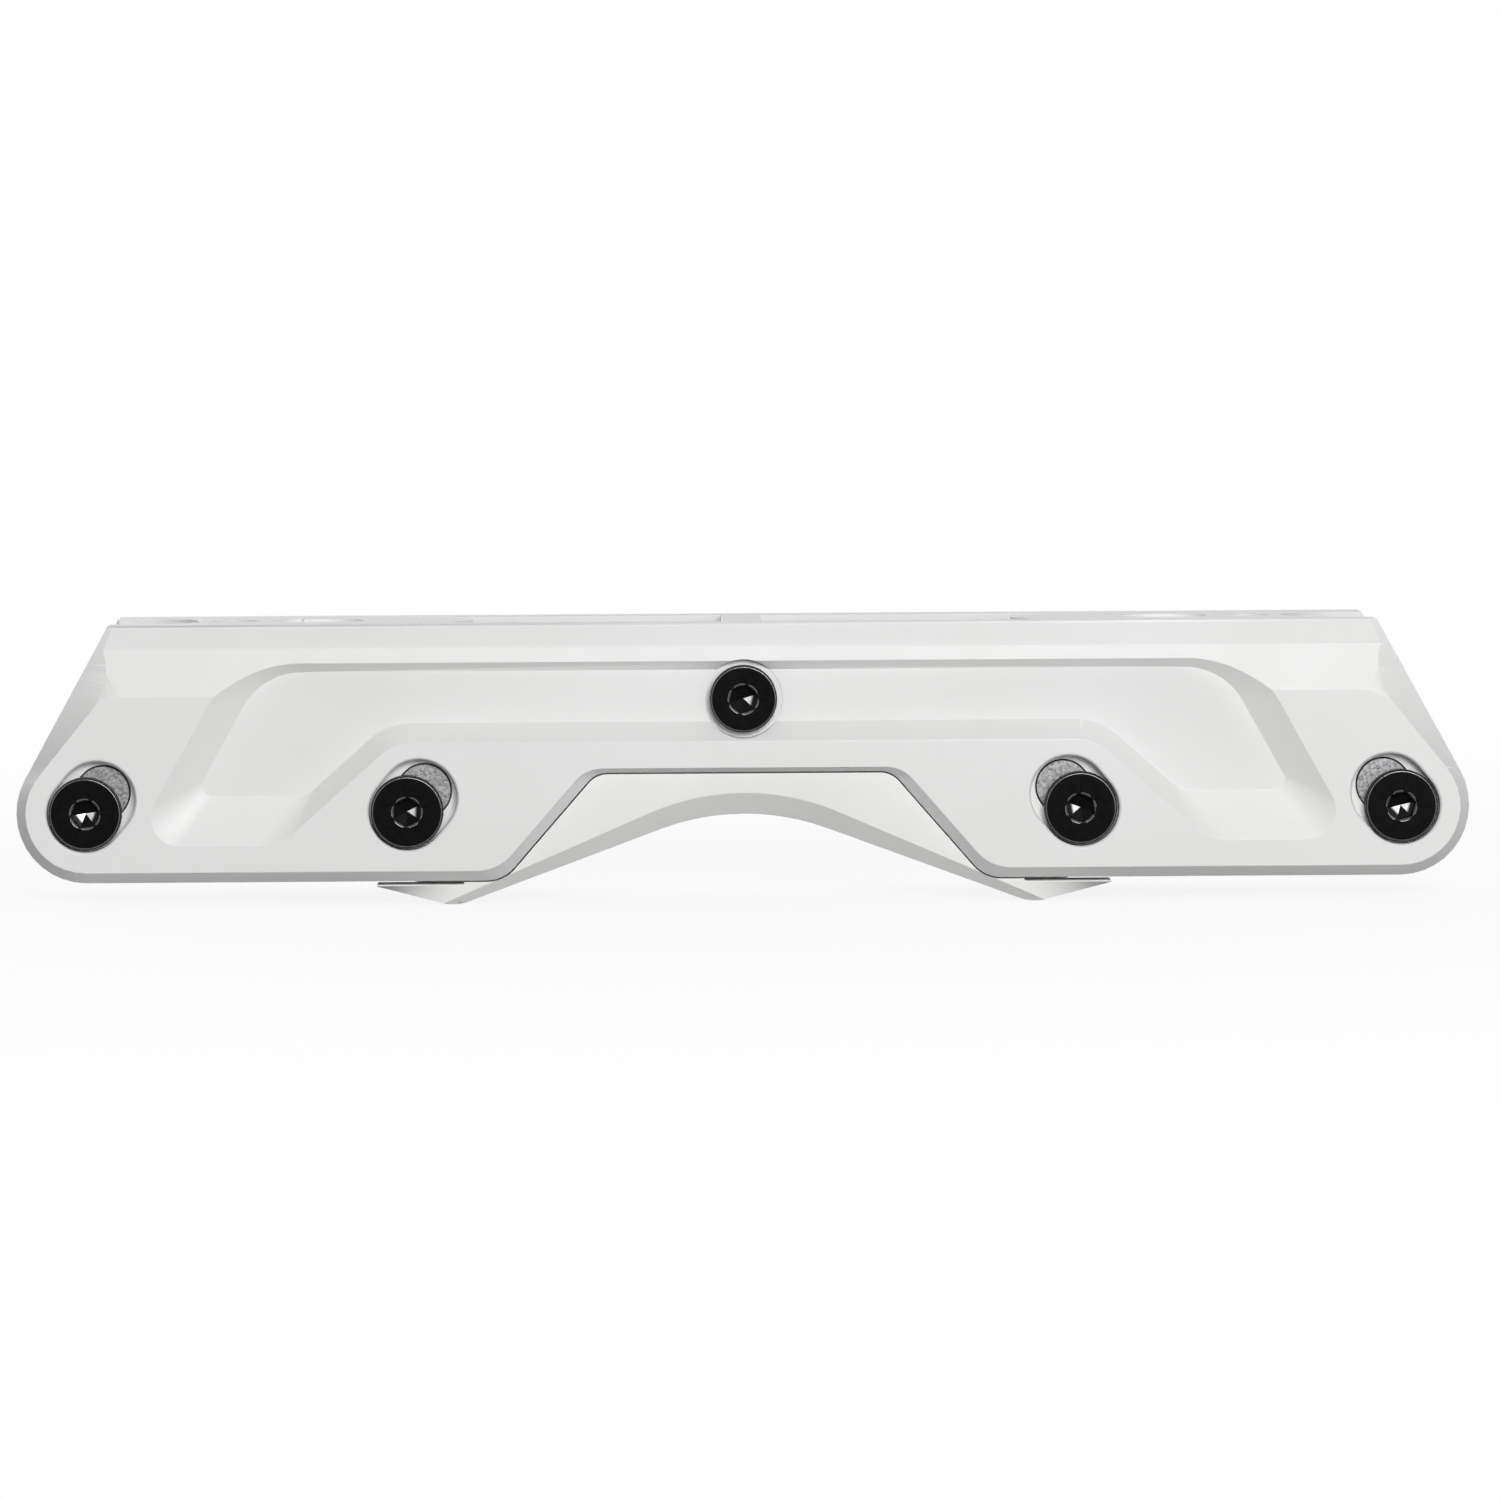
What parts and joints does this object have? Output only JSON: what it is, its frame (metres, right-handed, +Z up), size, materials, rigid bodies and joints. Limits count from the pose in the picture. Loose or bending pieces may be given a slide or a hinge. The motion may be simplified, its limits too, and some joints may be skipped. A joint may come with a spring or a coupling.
{
  "type": "inline skate frame",
  "caption": "Moulded inline skate frame with two walls, a boot face, removable hollow axles in reversible steel plugs and a bolted grind block with an arched underside.",
  "frame": {"origin": "middle of the boot face, on the mid plane between the walls", "axes": "+X along the wheel line, +Y from the axle heads towards the axle screws, +Z up to the boot"},
  "size_m": [0.281, 0.045, 0.0542],
  "materials": {
    "frame_plastic": "satin moulded",
    "block_plastic": "satin moulded",
    "black_steel": "black oxide",
    "zinc": "grainy zinc plate"
  },
  "bodies": {
    "frame": {"chassis": "frame_plastic", "grind_block": "block_plastic"},
    "near_insert_1": {"near_insert_1": "zinc"},
    "axle_1": {"axle_1": "black_steel"},
    "far_insert_1": {"far_insert_1": "zinc"},
    "axle_screw_1": {"axle_screw_1": "black_steel"},
    "near_insert_2": {"near_insert_2": "zinc"},
    "axle_2": {"axle_2": "black_steel"},
    "far_insert_2": {"far_insert_2": "zinc"},
    "axle_screw_2": {"axle_screw_2": "black_steel"},
    "near_insert_3": {"near_insert_3": "zinc"},
    "axle_3": {"axle_3": "black_steel"},
    "far_insert_3": {"far_insert_3": "zinc"},
    "axle_screw_3": {"axle_screw_3": "black_steel"},
    "near_insert_4": {"near_insert_4": "zinc"},
    "axle_4": {"axle_4": "black_steel"},
    "far_insert_4": {"far_insert_4": "zinc"},
    "axle_screw_4": {"axle_screw_4": "black_steel"},
    "block_bolt": {"block_bolt": "black_steel"},
    "block_screw": {"block_screw": "black_steel"}
  },
  "joints": [
    {"name": "axle_1_draw", "type": "slide", "parent": "frame", "child": "near_insert_1", "axis": [0, -1, 0], "range_m": [0, 0.075]},
    {"name": "axle_1_turn", "type": "hinge", "parent": "near_insert_1", "child": "axle_1", "pos_m": [-0.127, 0, -0.0361], "axis": [0, -1, 0], "continuous": true},
    {"name": "screw_1_draw", "type": "slide", "parent": "frame", "child": "far_insert_1", "axis": [0, 1, 0], "range_m": [0, 0.03]},
    {"name": "screw_1_turn", "type": "hinge", "parent": "far_insert_1", "child": "axle_screw_1", "pos_m": [-0.127, 0, -0.0361], "axis": [0, 1, 0], "continuous": true},
    {"name": "axle_2_draw", "type": "slide", "parent": "frame", "child": "near_insert_2", "axis": [0, -1, 0], "range_m": [0, 0.075]},
    {"name": "axle_2_turn", "type": "hinge", "parent": "near_insert_2", "child": "axle_2", "pos_m": [-0.065, 0, -0.0361], "axis": [0, -1, 0], "continuous": true},
    {"name": "screw_2_draw", "type": "slide", "parent": "frame", "child": "far_insert_2", "axis": [0, 1, 0], "range_m": [0, 0.03]},
    {"name": "screw_2_turn", "type": "hinge", "parent": "far_insert_2", "child": "axle_screw_2", "pos_m": [-0.065, 0, -0.0361], "axis": [0, 1, 0], "continuous": true},
    {"name": "axle_3_draw", "type": "slide", "parent": "frame", "child": "near_insert_3", "axis": [0, -1, 0], "range_m": [0, 0.075]},
    {"name": "axle_3_turn", "type": "hinge", "parent": "near_insert_3", "child": "axle_3", "pos_m": [0.065, 0, -0.0361], "axis": [0, -1, 0], "continuous": true},
    {"name": "screw_3_draw", "type": "slide", "parent": "frame", "child": "far_insert_3", "axis": [0, 1, 0], "range_m": [0, 0.03]},
    {"name": "screw_3_turn", "type": "hinge", "parent": "far_insert_3", "child": "axle_screw_3", "pos_m": [0.065, 0, -0.0361], "axis": [0, 1, 0], "continuous": true},
    {"name": "axle_4_draw", "type": "slide", "parent": "frame", "child": "near_insert_4", "axis": [0, -1, 0], "range_m": [0, 0.075]},
    {"name": "axle_4_turn", "type": "hinge", "parent": "near_insert_4", "child": "axle_4", "pos_m": [0.127, 0, -0.0361], "axis": [0, -1, 0], "continuous": true},
    {"name": "screw_4_draw", "type": "slide", "parent": "frame", "child": "far_insert_4", "axis": [0, 1, 0], "range_m": [0, 0.03]},
    {"name": "screw_4_turn", "type": "hinge", "parent": "far_insert_4", "child": "axle_screw_4", "pos_m": [0.127, 0, -0.0361], "axis": [0, 1, 0], "continuous": true},
    {"name": "block_bolt_draw", "type": "slide", "parent": "frame", "child": "block_bolt", "axis": [0, -1, 0], "range_m": [0, 0.06]},
    {"name": "block_screw_draw", "type": "slide", "parent": "frame", "child": "block_screw", "axis": [0, 1, 0], "range_m": [0, 0.03]}
  ]
}
